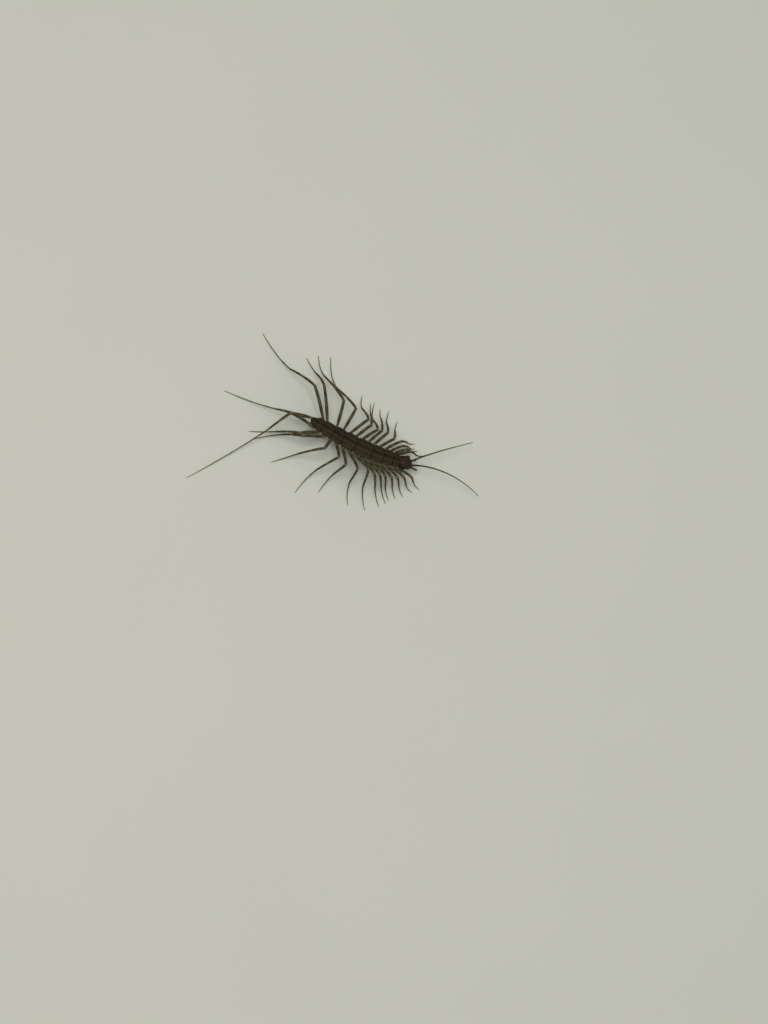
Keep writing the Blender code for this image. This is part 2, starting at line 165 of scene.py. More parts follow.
# Fineness of the surfaces. A corner is the width over which a limb's bends are rounded.
LEG_STEP, LEG_CORNER, LEG_SIDES = 0.09, 0.16, 15
FEELER_STEP, FEELER_CORNER, FEELER_SIDES = 0.045, 0.3, 10
FEELER_EVEN = 0.12  # rounding of a feeler's second pass
MOUTH_STEP, MOUTH_CORNER = 0.04, 0.13
LEG_PART_POINTS = 60
PLATE_COLUMNS = 97
PATCH = 0.003  # width of a bristle's place on the unwrap

# How many bristles there are on a region, or on each millimetre of a foot, a coxa or a plate
SKIN_BRISTLES, HEAD_BRISTLES, TAIL_BRISTLES, FEELER_BRISTLES = 1500, 520, 130, 2600
FOOT_BRISTLES, COXA_BRISTLES, PLATE_BRISTLES = 13, 14, 34

# Camera and stage
CAMERA_WAY = (-0.1635, -0.4068, 0.8988)  # from the floor point in the middle of the picture to the camera
CAMERA_ROLL = 42.0
CAMERA_AIM = (14.23, -11.21, 0.0)
CAMERA_FAR = 1200.0
PICTURE_TALL = 256.0  # height of the picture on the floor
FLOOR_HALF = 2500.0
LIGHTS = (("key_light", (-0.20, -0.12, 0.78), 0.5, 4.1), ("fill_light", (0.45, 0.3, 0.65), 0.9, 1.5))
STUDIO_LIGHT = 0.44

# Colours are linear red, green and blue
SHELL_DARK = (0.0070, 0.0047, 0.0022)
SHELL_BROWN = (0.0195, 0.0138, 0.0060)
SHELL_PALE = (0.043, 0.032, 0.0145)
SKIN_BROWN = (0.046, 0.035, 0.015)
SKIN_PALE = (0.092, 0.073, 0.037)
HEAD_DARK = (0.0080, 0.0046, 0.0027)
HEAD_BROWN = (0.0205, 0.0118, 0.0060)
EYE_BLACK = (0.006, 0.005, 0.004)
# Painted highlight on the crown of each eye facet
EYE_PAINTED_HIGHLIGHT = (0.014, 0.011, 0.009)
LEG_DARK = (0.027, 0.024, 0.010)
LEG_OLIVE = (0.062, 0.056, 0.025)
LEG_PALE = (0.135, 0.125, 0.068)
CLAW_DARK = (0.018, 0.010, 0.005)
BRISTLE_DARK = (0.020, 0.014, 0.007)
GLOSS_TINT = (1.0, 0.86, 0.66, 1.0)
FLOOR_GREY = (0.50, 0.505, 0.44)
STUDIO_WHITE = (1.0, 1.0, 0.97, 1.0)


# Shapes in numbers


def unit(vectors):
    """The same directions with a length of one."""
    return vectors / np.maximum(np.linalg.norm(vectors, axis=-1, keepdims=True), 1e-9)


def rise(value, low, high):
    """From 0 at low to 1 at high, with soft ends."""
    share = np.clip((value - low) / (high - low), 0.0, 1.0)
    return share * share * (3.0 - 2.0 * share)


def drop(value, low, high):
    """From 1 at low to 0 at high, with soft ends."""
    return 1.0 - rise(value, low, high)


def hill(value, centre, width):
    """1 at centre, falling to almost nothing at two widths from it."""
    return np.exp(-(((value - centre) / width) ** 2))


def dome(share):
    """Height of a round end, from 1 where share is 0 to nought where it is 1 or more."""
    return 1.0 - np.clip(share, 0.0, 1.0) ** 2


def spine_heading(s):
    """Direction of the spine at s, in radians from +X."""
    left = np.maximum(0.0, 1.0 - s / BODY_LENGTH)
    return np.radians(TAIL_HEADING + (HEAD_HEADING - TAIL_HEADING) * left ** SPINE_BEND)


def walk_spine():
    """Places on the spine at even steps, found by walking back from the head along its heading."""
    step = BODY_LENGTH / SPINE_STEPS
    turn = spine_heading((np.arange(SPINE_STEPS) + 0.5) * step)
    back = -step * np.stack((np.cos(turn), np.sin(turn)), 1)
    return np.vstack((HEAD_FRONT, HEAD_FRONT + np.cumsum(back, 0)))


SPINE = walk_spine()


def body_place(s, side, up):
    """Points in the frame, from their places on the body."""
    s, side, up = np.broadcast_arrays(*(np.asarray(value, float) for value in (s, side, up)))
    turn = spine_heading(s)
    forward = np.stack((np.cos(turn), np.sin(turn)), -1)
    left = np.stack((-np.sin(turn), np.cos(turn)), -1)
    inside = np.clip(s, 0.0, BODY_LENGTH)
    position = inside / BODY_LENGTH * SPINE_STEPS
    base = np.stack([np.interp(position, np.arange(len(SPINE)), SPINE[:, k]) for k in (0, 1)], -1)
    flat = base + (inside - s)[..., None] * forward + side[..., None] * left
    dip = NECK_DIP * np.maximum(0.0, 1.0 - np.maximum(s, 0.0) / NECK_DIP_LENGTH) ** 2
    return np.concatenate((flat, (SPINE_HEIGHT - dip + up)[..., None]), -1)


def back_half_width(s):
    """Half the width of the back at s: broadest before the middle, narrower at neck and tail."""
    share = np.clip((s - HEAD_LENGTH) / (TRUNK_END - HEAD_LENGTH), 0.0, 1.0)
    return NECK_HALF_WIDTH + BACK_SWELL * np.sin(np.pi * share ** BACK_SWELL_SHIFT)


def grid_faces(rows, columns, closed=True):
    """Four-sided faces of rows of points. A closed grid joins the end of each row to its start."""
    row, column = np.meshgrid(np.arange(rows - 1), np.arange(columns - (not closed)), indexing="ij")
    here = row * columns + column
    after = row * columns + (column + 1) % columns
    return np.stack((here, after, after + columns, here + columns), -1).reshape(-1, 4)


def close_tube(rings):
    """Points and faces of a row of closed rings, with one more point over each end."""
    rows, columns = rings.shape[:2]
    points = np.vstack((rings.reshape(-1, 3), rings[0].mean(0), rings[-1].mean(0)))
    here = np.arange(columns)
    after = np.roll(here, -1)
    last = (rows - 1) * columns
    pole = np.full(columns, rows * columns)
    start = np.stack((after, here, pole), 1)
    end = np.stack((last + here, last + after, pole + 1), 1)
    return points, [grid_faces(rows, columns), start, end]


def outward(rings):
    """The direction out of a row of closed rings, at each of their points."""
    along = np.gradient(rings, axis=0)
    around = np.roll(rings, -1, 1) - np.roll(rings, 1, 1)
    ways = unit(np.cross(around, along))
    if np.sum(ways * (rings - rings.mean(1, keepdims=True))) < 0.0:
        ways = -ways
    return ways


def even_line(parts, step, soften):
    """Joins runs of points into one line with even steps and soft corners. Gives it, the distance
    along it of each point, and the distances at which the runs end."""
    line = np.vstack([parts[0]] + [part[1:] for part in parts[1:]])
    gone = np.append(0.0, np.cumsum(np.linalg.norm(np.diff(line, axis=0), axis=1)))
    ends = gone[np.cumsum([len(part) - 1 for part in parts])]
    along = np.linspace(0.0, gone[-1], int(gone[-1] / step) + 2)
    line = along_line(along, gone, line)
    reach = int(3.0 * soften / step)
    weights = hill(np.arange(-reach, reach + 1) * step, 0.0, soften)
    weights /= weights.sum()
    before = 2.0 * line[0] - line[reach:0:-1]
    after = 2.0 * line[-1] - line[-2:-reach - 2:-1]
    line = np.vstack((before, line, after))
    line = np.stack([np.convolve(line[:, k], weights, "valid") for k in range(3)], 1)
    return line, along, ends


def along_line(place, along, vectors):
    """The vectors carried by a line's points, read at any distances along it."""
    return np.stack([np.interp(place, along, vectors[:, k]) for k in range(3)], 1)


def line_frame(line):
    """Directions along a line, level across it and up from it."""
    along = unit(np.gradient(line, axis=0))
    across = unit(np.cross(along, UP))
    return along, across, np.cross(across, along)


def jointed(along, joints, shapes, groove=0.28, collar=0.09):
    """Radius at each point of a limb whose parts each have a radius at start, belly and end."""
    radius = np.zeros_like(along)
    for low, high, (start, belly, end) in zip(joints, joints[1:], shapes):
        share = (along - low) / (high - low)
        here = start + (belly - start) * rise(share, 0.0, 0.35) + (end - belly) * rise(share, 0.45, 1.0)
        radius = np.where((share >= 0.0) & (share <= 1.0), here, radius)
    for joint in joints[1:-1]:
        radius *= 1.0 - groove * hill(along, joint, 0.07)
        radius *= 1.0 + collar * hill(along, joint - 0.17, 0.09)
    return radius


def round_ends(along, radius):
    """Lets the radius run out to a rounded end at both ends of a limb."""
    for left, size in ((along - along[0], radius[2]), (along[-1] - along, radius[-3])):
        radius = radius * np.sqrt(np.maximum(dome(1.0 - left / size), 0.0004))
    return radius


def limb_rings(line, wide, tall, sides, keel=0.0):
    """Rings round a line. keel raises a low ridge on every third side."""
    angle = ROUND * (np.arange(sides) + 0.5) / sides
    _, across, lift = line_frame(line)
    swell = 1.0 + np.multiply.outer(np.broadcast_to(keel, len(line)), np.cos(sides / 3.0 * angle))
    ring = (wide[:, None] * np.cos(angle))[..., None] * across[:, None]
    ring = ring + (tall[:, None] * np.sin(angle))[..., None] * lift[:, None]
    return line[:, None] + ring * swell[..., None]


# Materials


class Look:
    """A material in the making, with helpers that add nodes to it and give their outputs."""

    def __init__(self, name, roughness, specular, coat=0.0):
        self.material = bpy.data.materials.new(name)
        self.material.use_nodes = True
        self.tree = self.material.node_tree
        self.surface = self.tree.nodes["Principled BSDF"].inputs
        self.noises = {}
        for socket, value in (("Roughness", roughness), ("Specular IOR Level", specular),
                              ("Specular Tint", GLOSS_TINT), ("Coat Weight", coat), ("Coat Roughness", 0.25)):
            self.surface[socket].default_value = value

    def node(self, kind, sockets, output=0, **settings):
        """One output of a node, made from its settings and from values or links for its sockets."""
        made = self.tree.nodes.new("ShaderNode" + kind)
        for key, value in settings.items():
            setattr(made, key, value)
        for key, value in sockets.items():
            if isinstance(value, bpy.types.NodeSocket):
                self.tree.links.new(value, made.inputs[key])
            else:
                made.inputs[key].default_value = value
        return made.outputs[output]

    def sums(self, operation, *values):
        """Numbers put together."""
        return self.node("Math", dict(enumerate(values)), operation=operation)

    def blend(self, share, first, second):
        """A colour between two, each a colour or a socket."""
        first, second = ((*c, 1.0) if isinstance(c, tuple) else c for c in (first, second))
        return self.node("Mix", {0: share, 6: first, 7: second}, 2, data_type="RGBA")

    def place(self, size, stretch=(1.0, 1.0, 1.0)):
        """Where a texture with details of a size in millimetres takes its pattern from."""
        place = self.node("Mapping", {"Vector": self.node("TexCoord", {}, "Object"), "Scale": stretch})
        return {"Vector": place, "Scale": 1.0 / (size * MM)}

    def noise(self, size, detail, stretch=(1.0, 1.0, 1.0)):
        """Cloudy noise between 0 and 1 with blotches of a size, made once for each size and detail."""
        if (size, detail) not in self.noises:
            sockets = {**self.place(size, stretch), "Detail": detail}
            self.noises[size, detail] = self.node("TexNoise", sockets)
        return self.noises[size, detail]

    def finish(self, colour, depth=0.0, height=None):
        """The material, of a colour, and raised in looks by a height of up to depth millimetres."""
        self.tree.links.new(colour, self.surface["Base Color"])
        if height:
            raised = self.node("Bump", {"Height": height, "Distance": depth * MM, "Strength": 1.0})
            self.tree.links.new(raised, self.surface["Normal"])
        return self.material


def layered(look, colour, layers, depth=0.0, relief=None, grains=None):
    """A material of one colour with others laid over it. A layer has the number of the mesh that it
    follows, clouds that blur it as size, detail and weight, its colour, and where it starts and is
    full. relief is the noise that raises the surface, as size, detail and perhaps stretch. grains are
    small round pits in it, with a size and a weight."""
    for number, clouds, cover, low, high in layers:
        value = look.node("Attribute", {}, "Fac", attribute_name=number)
        for size, detail, weight in clouds:
            cloud = look.sums("SUBTRACT", look.noise(size, detail), 0.5)
            value = look.sums("MULTIPLY_ADD", cloud, weight, value)
        sockets = {"Value": value, "From Min": low, "From Max": high}
        share = look.node("MapRange", sockets, interpolation_type="SMOOTHSTEP")
        colour = look.blend(share, colour, cover)
    height = look.noise(*relief) if relief else None
    if grains:
        pits = look.node("TexVoronoi", look.place(grains[0]), "Distance")
        height = look.sums("MULTIPLY_ADD", pits, -grains[1], height)
    return look.finish(colour, depth, height)


def shell_look():
    """A plate's gloss, which is uneven."""
    look = Look("shell", 0.55, 0.16)
    fine = {"Value": look.noise(0.12, 3.0), "From Min": 0.2, "From Max": 0.8, "To Min": 0.46, "To Max": 0.66}
    look.tree.links.new(look.node("MapRange", fine), look.surface["Roughness"])
    return look


def limb_material(name, dark, middle, pale, roughness):
    """Banded limb shell: middle colour with darker bands, paler joints and mottling along it."""
    layers = (("joint", ((0.35, 5.0, 0.5),), pale, 0.2, 0.9),
              ("band", ((0.35, 5.0, 1.0), (0.09, 3.0, 0.4)), dark, 0.3, 0.85))
    return layered(Look(name, roughness, 0.18), middle, layers, 0.016, (0.09, 3.0), (0.08, 0.6))


def bristle_material(name, root, tip, roughness):
    """Stiff hairs, darker at the root than at the tip."""
    return layered(Look(name, roughness, 0.16), root, (("tip", ((0.3, 4.0, 1.0),), tip, 0.1, 1.0),))


# Dark brown plates with darker stripes, paler bands and tiny bumps, their fronts darkened as painted shade;
# soft skin with fine folds, paler on its raised plates and fold crests and darker in its grooves as painted
# light and shade; a reddish head with a dark forked mark; and almost black eyes with a wet gloss and a
# painted highlight on each facet's crown
SHELL = layered(shell_look(), SHELL_BROWN,
                (("pale", ((0.55, 5.0, 1.0), (0.12, 3.0, 1.0)), SHELL_PALE, 0.25, 0.95),
                 ("stripe", ((0.55, 5.0, 1.1),), SHELL_DARK, 0.3, 0.75)),
                0.0176, (0.12, 3.0), (0.11, 1.25))
SKIN = layered(Look("underside", 0.65, 0.16), SKIN_BROWN,
               (("pale", ((0.5, 5.0, 1.2),), SKIN_PALE, 0.2, 0.9),), 0.03, (0.07, 4.0, (0.4, 1.0, 1.0)))
HEAD = layered(Look("head", 0.45, 0.17), HEAD_BROWN,
               (("pale", ((0.4, 5.0, 1.0),), SHELL_PALE, 0.3, 1.0),
                ("mark", ((0.4, 5.0, 1.0),), HEAD_DARK, 0.25, 0.8)),
               0.014, (0.05, 3.0), (0.09, 1.0))
EYE = layered(Look("eye", 0.25, 0.35, 0.12), EYE_BLACK, (("crown", (), EYE_PAINTED_HIGHLIGHT, 0.2, 1.0),),
              0.003, (0.03, 2.0))
LIMB = limb_material("leg", LEG_DARK, LEG_OLIVE, LEG_PALE, 0.48)
FEELER = limb_material("feeler", LEG_DARK, LEG_OLIVE, LEG_PALE, 0.55)
MOUTH = limb_material("mouthpart", CLAW_DARK, HEAD_BROWN, SHELL_PALE, 0.4)
BRISTLE = bristle_material("bristle", BRISTLE_DARK, LEG_OLIVE, 0.45)
CLAW = bristle_material("claw", CLAW_DARK, HEAD_DARK, 0.3)


# Pieces


def enclosed(points, faces):
    """The volume inside a closed mesh, negative where its faces point inwards."""
    total = 0.0
    for block in faces:
        corners = points[block]
        for k in range(1, block.shape[1] - 1):
            crossed = np.cross(corners[:, k], corners[:, k + 1])
            total += np.sum(corners[:, 0] * crossed) / 6.0
    return total


def make_piece(name, slot, points, faces, material, stands_for=(), numbers=None, unwrap=None):
    """A named piece from points in millimetres, which rides on the body and stands for its solids.
    numbers are values carried at the points, and unwrap is each point's place on the bake's map."""
    if enclosed(points, faces) < 0.0:
        faces = [block[:, ::-1] for block in faces]
    mesh = bpy.data.meshes.new(name)
    mesh.from_pydata((points * MM).tolist(), [], [face for block in faces for face in block.tolist()])
    mesh.shade_smooth()
    for key, values in (numbers or {}).items():
        layer = mesh.attributes.new(key, "FLOAT", "POINT")
        layer.data.foreach_set("value", values.astype(np.float32).reshape(-1))
    if unwrap is not None:
        corners = unwrap[np.concatenate([block.reshape(-1) for block in faces])]
        layer = mesh.uv_layers.new(name="OFBake")
        layer.data.foreach_set("uv", corners.astype(np.float32).reshape(-1))
    mesh.materials.append(material)
    piece = bpy.data.objects.new(name, mesh)
    bpy.context.scene.collection.objects.link(piece)
    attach(piece, "root")
    if stands_for:
        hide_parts(*stands_for)


def tube_piece(name, slot, rings, material, stands_for, **numbers):
    """A piece from a row of closed rings. numbers are grids of values, or one column or row of them."""
    grids = {key: np.broadcast_to(values, rings.shape[:2]) for key, values in numbers.items()}
    full = {key: np.append(grid, (grid[0].mean(), grid[-1].mean())) for key, grid in grids.items()}
    make_piece(name, slot, *close_tube(rings), material, stands_for, full)


def on_unwrap(along, around):
    """Places on the unwrap, 0 to 1, from a grid's shares along and around."""
    return np.stack(np.broadcast_arrays(along, around), -1)


class Coat:
    """Bristles gathered from many places, then made as one mesh."""

    def __init__(self, seed):
        self.rng = np.random.default_rng(seed)
        self.rows = []

    def add(self, root, way, lean, length, thick, place):
        """Bristles at roots, leaving along way and curving towards lean. place is on the unwrap, 0 to 1."""
        thicks = np.full(len(root), thick)
        self.rows.append(np.column_stack((root, unit(way), unit(lean), length, thicks, place)))

    def add_on(self, surface, spots, upright, lengths, thick):
        """Bristles at spots of a surface, which is four grids: its points, the ways out of it and back
        along it, and its places on the unwrap."""
        root, out, back, place = (grid[spots] for grid in surface)
        way = upright * out + (1.0 - upright) * back
        self.add(root, way, back, self.rng.uniform(*lengths, len(root)), thick, place)

    def scatter(self, surface, count, weight, upright, lengths, thick):
        """Bristles at random over a surface, evenly over its area where weight is one."""
        along, around = (np.gradient(surface[0], axis=axis) for axis in (0, 1))
        area = np.linalg.norm(np.cross(along, around), axis=-1) * weight
        share = (area / area.sum()).reshape(-1)
        spots = np.unravel_index(self.rng.choice(area.size, count, False, share), area.shape)
        self.add_on(surface, spots, upright, lengths, thick)

    def grow(self, limb, place, angle, upright, length, thick, strip=0, strips=1):
        """Bristles at distances along a limb and angles round it, out of it by upright and else along
        it. A limb is its line, distances along it, and radii across it and up from it. The unwrap is
        shared out in strips."""
        line, along, wide, tall = limb
        ahead, across, lift = (along_line(place, along, ways) for ways in line_frame(line))
        out = (np.interp(place, along, wide) * np.cos(angle))[:, None] * across
        out = out + (np.interp(place, along, tall) * np.sin(angle))[:, None] * lift
        way = upright * unit(out) + (1.0 - upright) * ahead
        spot = on_unwrap(place / along[-1], (strip + np.mod(angle, ROUND) / ROUND) / strips)
        self.add(along_line(place, along, line) + out, way, ahead, length, thick, spot)

    def grow_anywhere(self, limb, size, picks, upright, lengths, thick, strip=0, strips=1):
        """Bristles at random all round a limb, with their size along it. picks are the first and last
        of its points and a count."""
        pick = self.rng.integers(*picks)
        angle = self.rng.uniform(0.0, ROUND, picks[2])
        length = self.rng.uniform(*lengths, picks[2]) * size[pick]
        self.grow(limb, limb[1][pick], angle, upright, length, thick, strip, strips)

    def make(self, name, slot):
        """Three-sided bristles with a bend half-way, each closed at its root."""
        rows = np.vstack(self.rows)
        tips = rows[:, :3] + rows[:, 9:10] * unit(rows[:, 3:6] + BRISTLE_CURVE * rows[:, 6:9])
        clear = tips[:, 2] > FLOOR_CLEARANCE
        root, way, _, length, thick, place = np.split(rows[clear], (3, 6, 9, 10, 11), 1)
        across = unit(np.cross(way, np.where(np.abs(way[:, 2:3]) > 0.9, (1.0, 0.0, 0.0), UP)))
        beside = np.cross(way, across)
        corners = []
        for reach, share in ((-0.15, 1.0), (0.5, 0.72)):
            for turn in ROUND * np.arange(3) / 3.0:
                spoke = math.cos(turn) * across + math.sin(turn) * beside
                corners.append(root + reach * length * way + share * thick * spoke)
        points = np.stack(corners + [tips[clear]], 1)
        base = np.array(((0, 2, 1), (0, 1, 4), (0, 4, 3), (1, 2, 5), (1, 5, 4), (2, 0, 3), (2, 3, 5),
                         (3, 4, 6), (4, 5, 6), (5, 3, 6)))
        faces = (base[None] + 7 * np.arange(len(root))[:, None, None]).reshape(-1, 3)
        patch = PATCH * np.array(((-0.5, -0.5), (0.5, -0.5), (0.0, 0.5), (-0.3, -0.3), (0.3, -0.3),
                                  (0.0, 0.3), (0.0, 0.0)))
        inside = PATCH + (1.0 - 2.0 * PATCH) * place
        unwrap = (inside[:, None] + patch[None]).reshape(-1, 2)
        share = np.tile((0.0, 0.0, 0.0, 0.5, 0.5, 0.5, 1.0), len(root))
        make_piece(name, slot, points.reshape(-1, 3), [faces], BRISTLE, (), {"tip": share}, unwrap)


# Legs


def out_and_ahead(sign, heading):
    """Direction on the floor plane, heading degrees forward of straight out to one side."""
    turn = math.radians(heading)
    return np.array((math.sin(turn), sign * math.cos(turn), 0.0))


def leg_line(side, sign, number, toe_height):
    """The middle line of a leg, from inside the trunk to the toe, the distance along it of each point,
    and the distances at which its parts start and end."""
    thigh, thigh_turn, shin, shin_turn, foot, foot_turn = STANCES[side][number - 1]
    knee_z = KNEE_HEIGHT + KNEE_RISE * number + KNEE_CHANGES.get((side, number), 0.0)
    ankle_z = ANKLE_HEIGHT + ANKLE_CHANGES.get((side, number), 0.0)
    if number == LEGS:
        root = body_place(TRUNK_END - 0.3, LAST_COXA_SIDE * sign, -COXA_DROP)
        hip = body_place(BODY_LENGTH, LAST_HIP_SIDE * sign, -COXA_DROP)
    else:
        s = FIRST_LEG + LEG_ROW * ((number - 1) / (LEGS - 2)) ** LEG_SPREAD
        s += ROOT_CHANGES.get((side, number), 0.0)
        reach = back_half_width(s) - PLATE_OVERHANG + GAP
        root = body_place(s, sign * (reach - ROOT_DEPTH), -COXA_DROP)
        hip = body_place(s, sign * (reach + COXA_REACH), -COXA_DROP)
    knee = hip + thigh * out_and_ahead(sign, thigh_turn)
    ankle = knee + shin * out_and_ahead(sign, shin_turn)
    toe = ankle + foot * out_and_ahead(sign, foot_turn)
    pull = ankle + FOOT_PULL * foot * out_and_ahead(sign, 0.5 * (shin_turn + foot_turn))

    share = np.linspace(0.0, 1.0, LEG_PART_POINTS)[:, None]
    coxa = root + share * (hip - root)
    upper = hip + share * (knee - hip)
    upper[:, 2] = hip[2] + (knee_z - hip[2]) * np.sin(share[:, 0] * math.pi / 2.0)
    lower = knee + share * (ankle - knee)
    lower[:, 2] = ankle_z + (knee_z - ankle_z) * (1.0 - share[:, 0] ** SHIN_DROP)
    tread = (1.0 - share) ** 2 * ankle + 2.0 * share * (1.0 - share) * pull + share ** 2 * toe
    tread[:, 2] = toe_height + (ankle_z - toe_height) * (1.0 - share[:, 0]) ** 2
    line, along, ends = even_line((coxa, upper, lower, tread), LEG_STEP, LEG_CORNER)
    hip_at, knee_at, ankle_at, tip_at = ends
    joints = (0.0, hip_at - 0.02, hip_at + RING_LENGTH, knee_at, knee_at + SHIN_SPLIT * (ankle_at - knee_at),
              ankle_at, ankle_at + FOOT_SPLIT * (tip_at - ankle_at), tip_at)
    return line, along, joints


def leg_shapes(number):
    """Radius at start, belly and end of each part of a leg."""
    growth = 0.9 + 0.16 * number / LEGS
    grown = ((0.42, 0.45, 0.37), (0.32, 0.35, 0.32), (0.31, 0.39, 0.34), (0.28, 0.325, 0.27),
             (0.225, 0.255, 0.205))
    return [tuple(growth * r for r in part) for part in grown] + [(0.18, 0.175, 0.13), (0.13, 0.115, 0.078)]


def leg_bands(along, joints):
    """How dark each point is, from the bands on every part, and how pale, from the joints and toes."""
    dark = np.zeros_like(along)
    for part in (THIGH, SHIN, SECOND_SHIN):
        share = (along - joints[part]) / (joints[part + 1] - joints[part])
        dark = np.maximum(dark, 0.8 * np.maximum(hill(share, 0.3, 0.17), hill(share, 0.76, 0.15)))
    length = joints[TIP] - joints[FOOT]
    foot = (along - joints[FOOT]) / length
    rings = 0.5 + 0.5 * np.cos(ROUND * foot * max(3, round(length / 2.2)))
    dark = np.where(foot > 0.0, 0.8 * rings * drop(foot, 0.35, 0.8), dark)
    pale = np.max([hill(along, joint + 0.02, 0.16) for joint in joints[RING:TIP]], 0)
    pale = np.maximum(pale, 0.75 * rise(foot, 0.1, 0.9))
    pale = np.maximum(pale, 0.45 * drop(along, joints[RING] - 0.3, joints[RING]))
    return dark, pale


def leg_bristles(coat, number, limb, joints):
    """Spurs at the joints, spines in rows along each part and short hairs on the feet and coxae."""
    rng = coat.rng

    def grow(*form):
        """Bristles of a form on this leg."""
        coat.grow(limb, *form, number - 1, LEGS)

    for part, spurs, length in ((THIGH, 5, 0.72), (SHIN, 4, 0.62), (SECOND_SHIN, 4, 0.5)):
        angle = ROUND * (np.arange(spurs) + 0.5) / spurs + rng.uniform(-0.2, 0.2, spurs)
        place = np.full(spurs, joints[part + 1] - 0.16)
        grow(place, angle, 0.36, length * rng.uniform(0.85, 1.15, spurs), 0.038)
    for part, spacing, length in ((THIGH, 0.21, 0.2), (SHIN, 0.2, 0.17), (SECOND_SHIN, 0.18, 0.15)):
        low, high = joints[part] + 0.2, joints[part + 1] - 0.15
        count = max(2, int((high - low) / spacing))
        for keel in ROUND * (np.arange(5) + 0.3) / 5.0:
            place = np.linspace(low, high, count) + rng.uniform(-0.05, 0.05, count)
            angle = keel + rng.uniform(-0.15, 0.15, count)
            grow(place, angle, 0.42, length * rng.uniform(0.7, 1.3, count), 0.016)
    low, high = joints[FOOT] + 0.05, joints[TIP] - 0.1
    feet = (int((high - low) * FOOT_BRISTLES), low, high, 0.38, 0.2, 0.009)
    coxae = (int(joints[THIGH] * COXA_BRISTLES), 0.5, joints[THIGH], 0.6, 0.18, 0.011)
    for count, low, high, upright, longest, thick in (feet, coxae):
        place = rng.uniform(low, high, count)
        angle = rng.uniform(0.0, ROUND, count)
        grow(place, angle, upright, rng.uniform(0.1, longest, count), thick)


def claw_rings(line):
    """A small hooked claw past the end of a leg."""
    share = np.linspace(0.0, 1.0, 10)[:, None]
    ahead = line_frame(line[-6:])[0][-2]
    hook = line[-2] + TOE_CLAW * (share * ahead - 0.12 * UP * share ** 2)
    hook[:, 2] = np.maximum(hook[:, 2], 0.02)
    radius = 0.055 * (1.0 - 0.85 * share[:, 0])
    return limb_rings(hook, radius, radius, 8)


def build_legs():
    """Fifteen legs on each side, the claws they end in and their spines."""
    for (side, sign), seed in zip(SIDES, (7, 11)):
        coat = Coat(seed)
        claws = []
        for number in range(1, LEGS + 1):
            shapes = leg_shapes(number)
            line, along, joints = leg_line(side, sign, number, shapes[-1][-1])
            radius = round_ends(along, jointed(along, joints, shapes))
            waist = (along > joints[FOOT] + 0.1) & (np.arange(len(along)) % 3 == 0)
            tall = np.where(waist, 0.88, 1.0) * radius
            wide = tall * (1.0 + 0.4 * drop(along, joints[RING] - 0.35, joints[RING]))
            hard = (along > joints[THIGH]) & (along < joints[FOOT])
            rings = limb_rings(line, wide, tall, LEG_SIDES, np.where(hard, 0.055, 0.0))
            rings[..., 2] = np.maximum(rings[..., 2], 0.0)
            dark, pale = leg_bands(along, joints)
            tube_piece(f"limb_{side}_{number:02d}", "leg", rings, LIMB, (f"leg_{side}_{number:02d}",),
                       band=dark[:, None], joint=pale[:, None])
            leg_bristles(coat, number, (line, along, wide, tall), joints)
            claws.append(claw_rings(line))
        coat.make(f"leg_bristles_{side}", "leg")
        tubes = [close_tube(claw) for claw in claws]
        points = np.vstack([points for points, _ in tubes])
        size = len(points) // LEGS
        faces = [np.vstack([block + size * k for k in range(LEGS)]) for block in tubes[0][1]]
        tip = np.tile(np.linspace(0.0, 1.0, size), LEGS)
        make_piece(f"toe_claws_{side}", "leg", points, faces, CLAW, (), {"tip": tip})


# Feelers


def build_feelers():
    """Two long feelers of many small rings on a stout base, with fine hairs all along."""
    coat = Coat(3)
    share = np.arange(FEELER_POINTS) / (FEELER_POINTS - 1)
    for strip, (side, sign) in enumerate(SIDES):
        length, first_turn, last_turn, tip_height = FEELERS[side]
        base = body_place(-GAP, FEELER_SIDE * sign, FEELER_LIFT)
        turn = np.radians(first_turn + (last_turn - first_turn) * share ** FEELER_CURL)
        steps = length / (FEELER_POINTS - 1) * np.stack((np.cos(turn), np.sin(turn), 0.0 * turn), 1)
        route = base + np.vstack((np.zeros(3), np.cumsum(steps[:-1], 0)))
        route[:, 2] += FEELER_ARCH * np.sin(np.pi * share ** FEELER_ARCH_SHIFT)
        route[:, 2] += (tip_height - base[2]) * share ** 2
        stem = np.stack((body_place(0.45, 0.85 * FEELER_SIDE * sign, 0.0), route[0]))
        line, _, (stem_end, _) = even_line((stem, route), FEELER_STEP, FEELER_CORNER)
        line, along, _ = even_line((line,), FEELER_STEP, FEELER_EVEN)
        joints = (0.0, stem_end + 0.05, stem_end + 0.6, stem_end + 1.0, along[-1])
        shapes = ((0.27, 0.29, 0.26), (0.25, 0.28, 0.24), (0.22, 0.24, 0.22), (0.21, 0.21, 0.08))
        radius = jointed(along, joints, shapes, 0.2, 0.06)
        whip = along > joints[3]
        gone = (along - joints[3]) / (joints[4] - joints[3])
        radius = np.where(whip, 0.21 - 0.13 * np.clip(gone, 0.0, 1.0) ** 0.9, radius)
        knots = sum(hill(gone, knot, 0.012) for knot in FEELER_KNOTS)
        radius = round_ends(along, radius * (1.0 + 0.14 * knots))
        radius = radius * np.where(whip & (np.arange(len(along)) % 3 == 0), 0.84, 1.0)
        dark = 0.55 * drop(gone, 0.0, 0.6) + 0.25 * np.cos(ROUND * along / 1.9)
        pale = np.maximum(0.7 * rise(gone, 0.3, 1.0), knots)
        rings = limb_rings(line, radius, radius, FEELER_SIDES)
        tube_piece(f"feeler_{side}", "feeler", rings, FEELER, (f"antenna_{side}",),
                   band=dark[:, None], joint=pale[:, None])
        size = 1.0 - 0.35 * np.clip(gone, 0.0, 1.0)
        picks = (int(len(along) * 0.04), len(along) - 3, FEELER_BRISTLES)
        limb = (line, along, radius, radius)
        coat.grow_anywhere(limb, size, picks, 0.42, (0.09, 0.17), 0.0075, strip, len(SIDES))
    coat.make("feeler_bristles", "feeler")


# Trunk


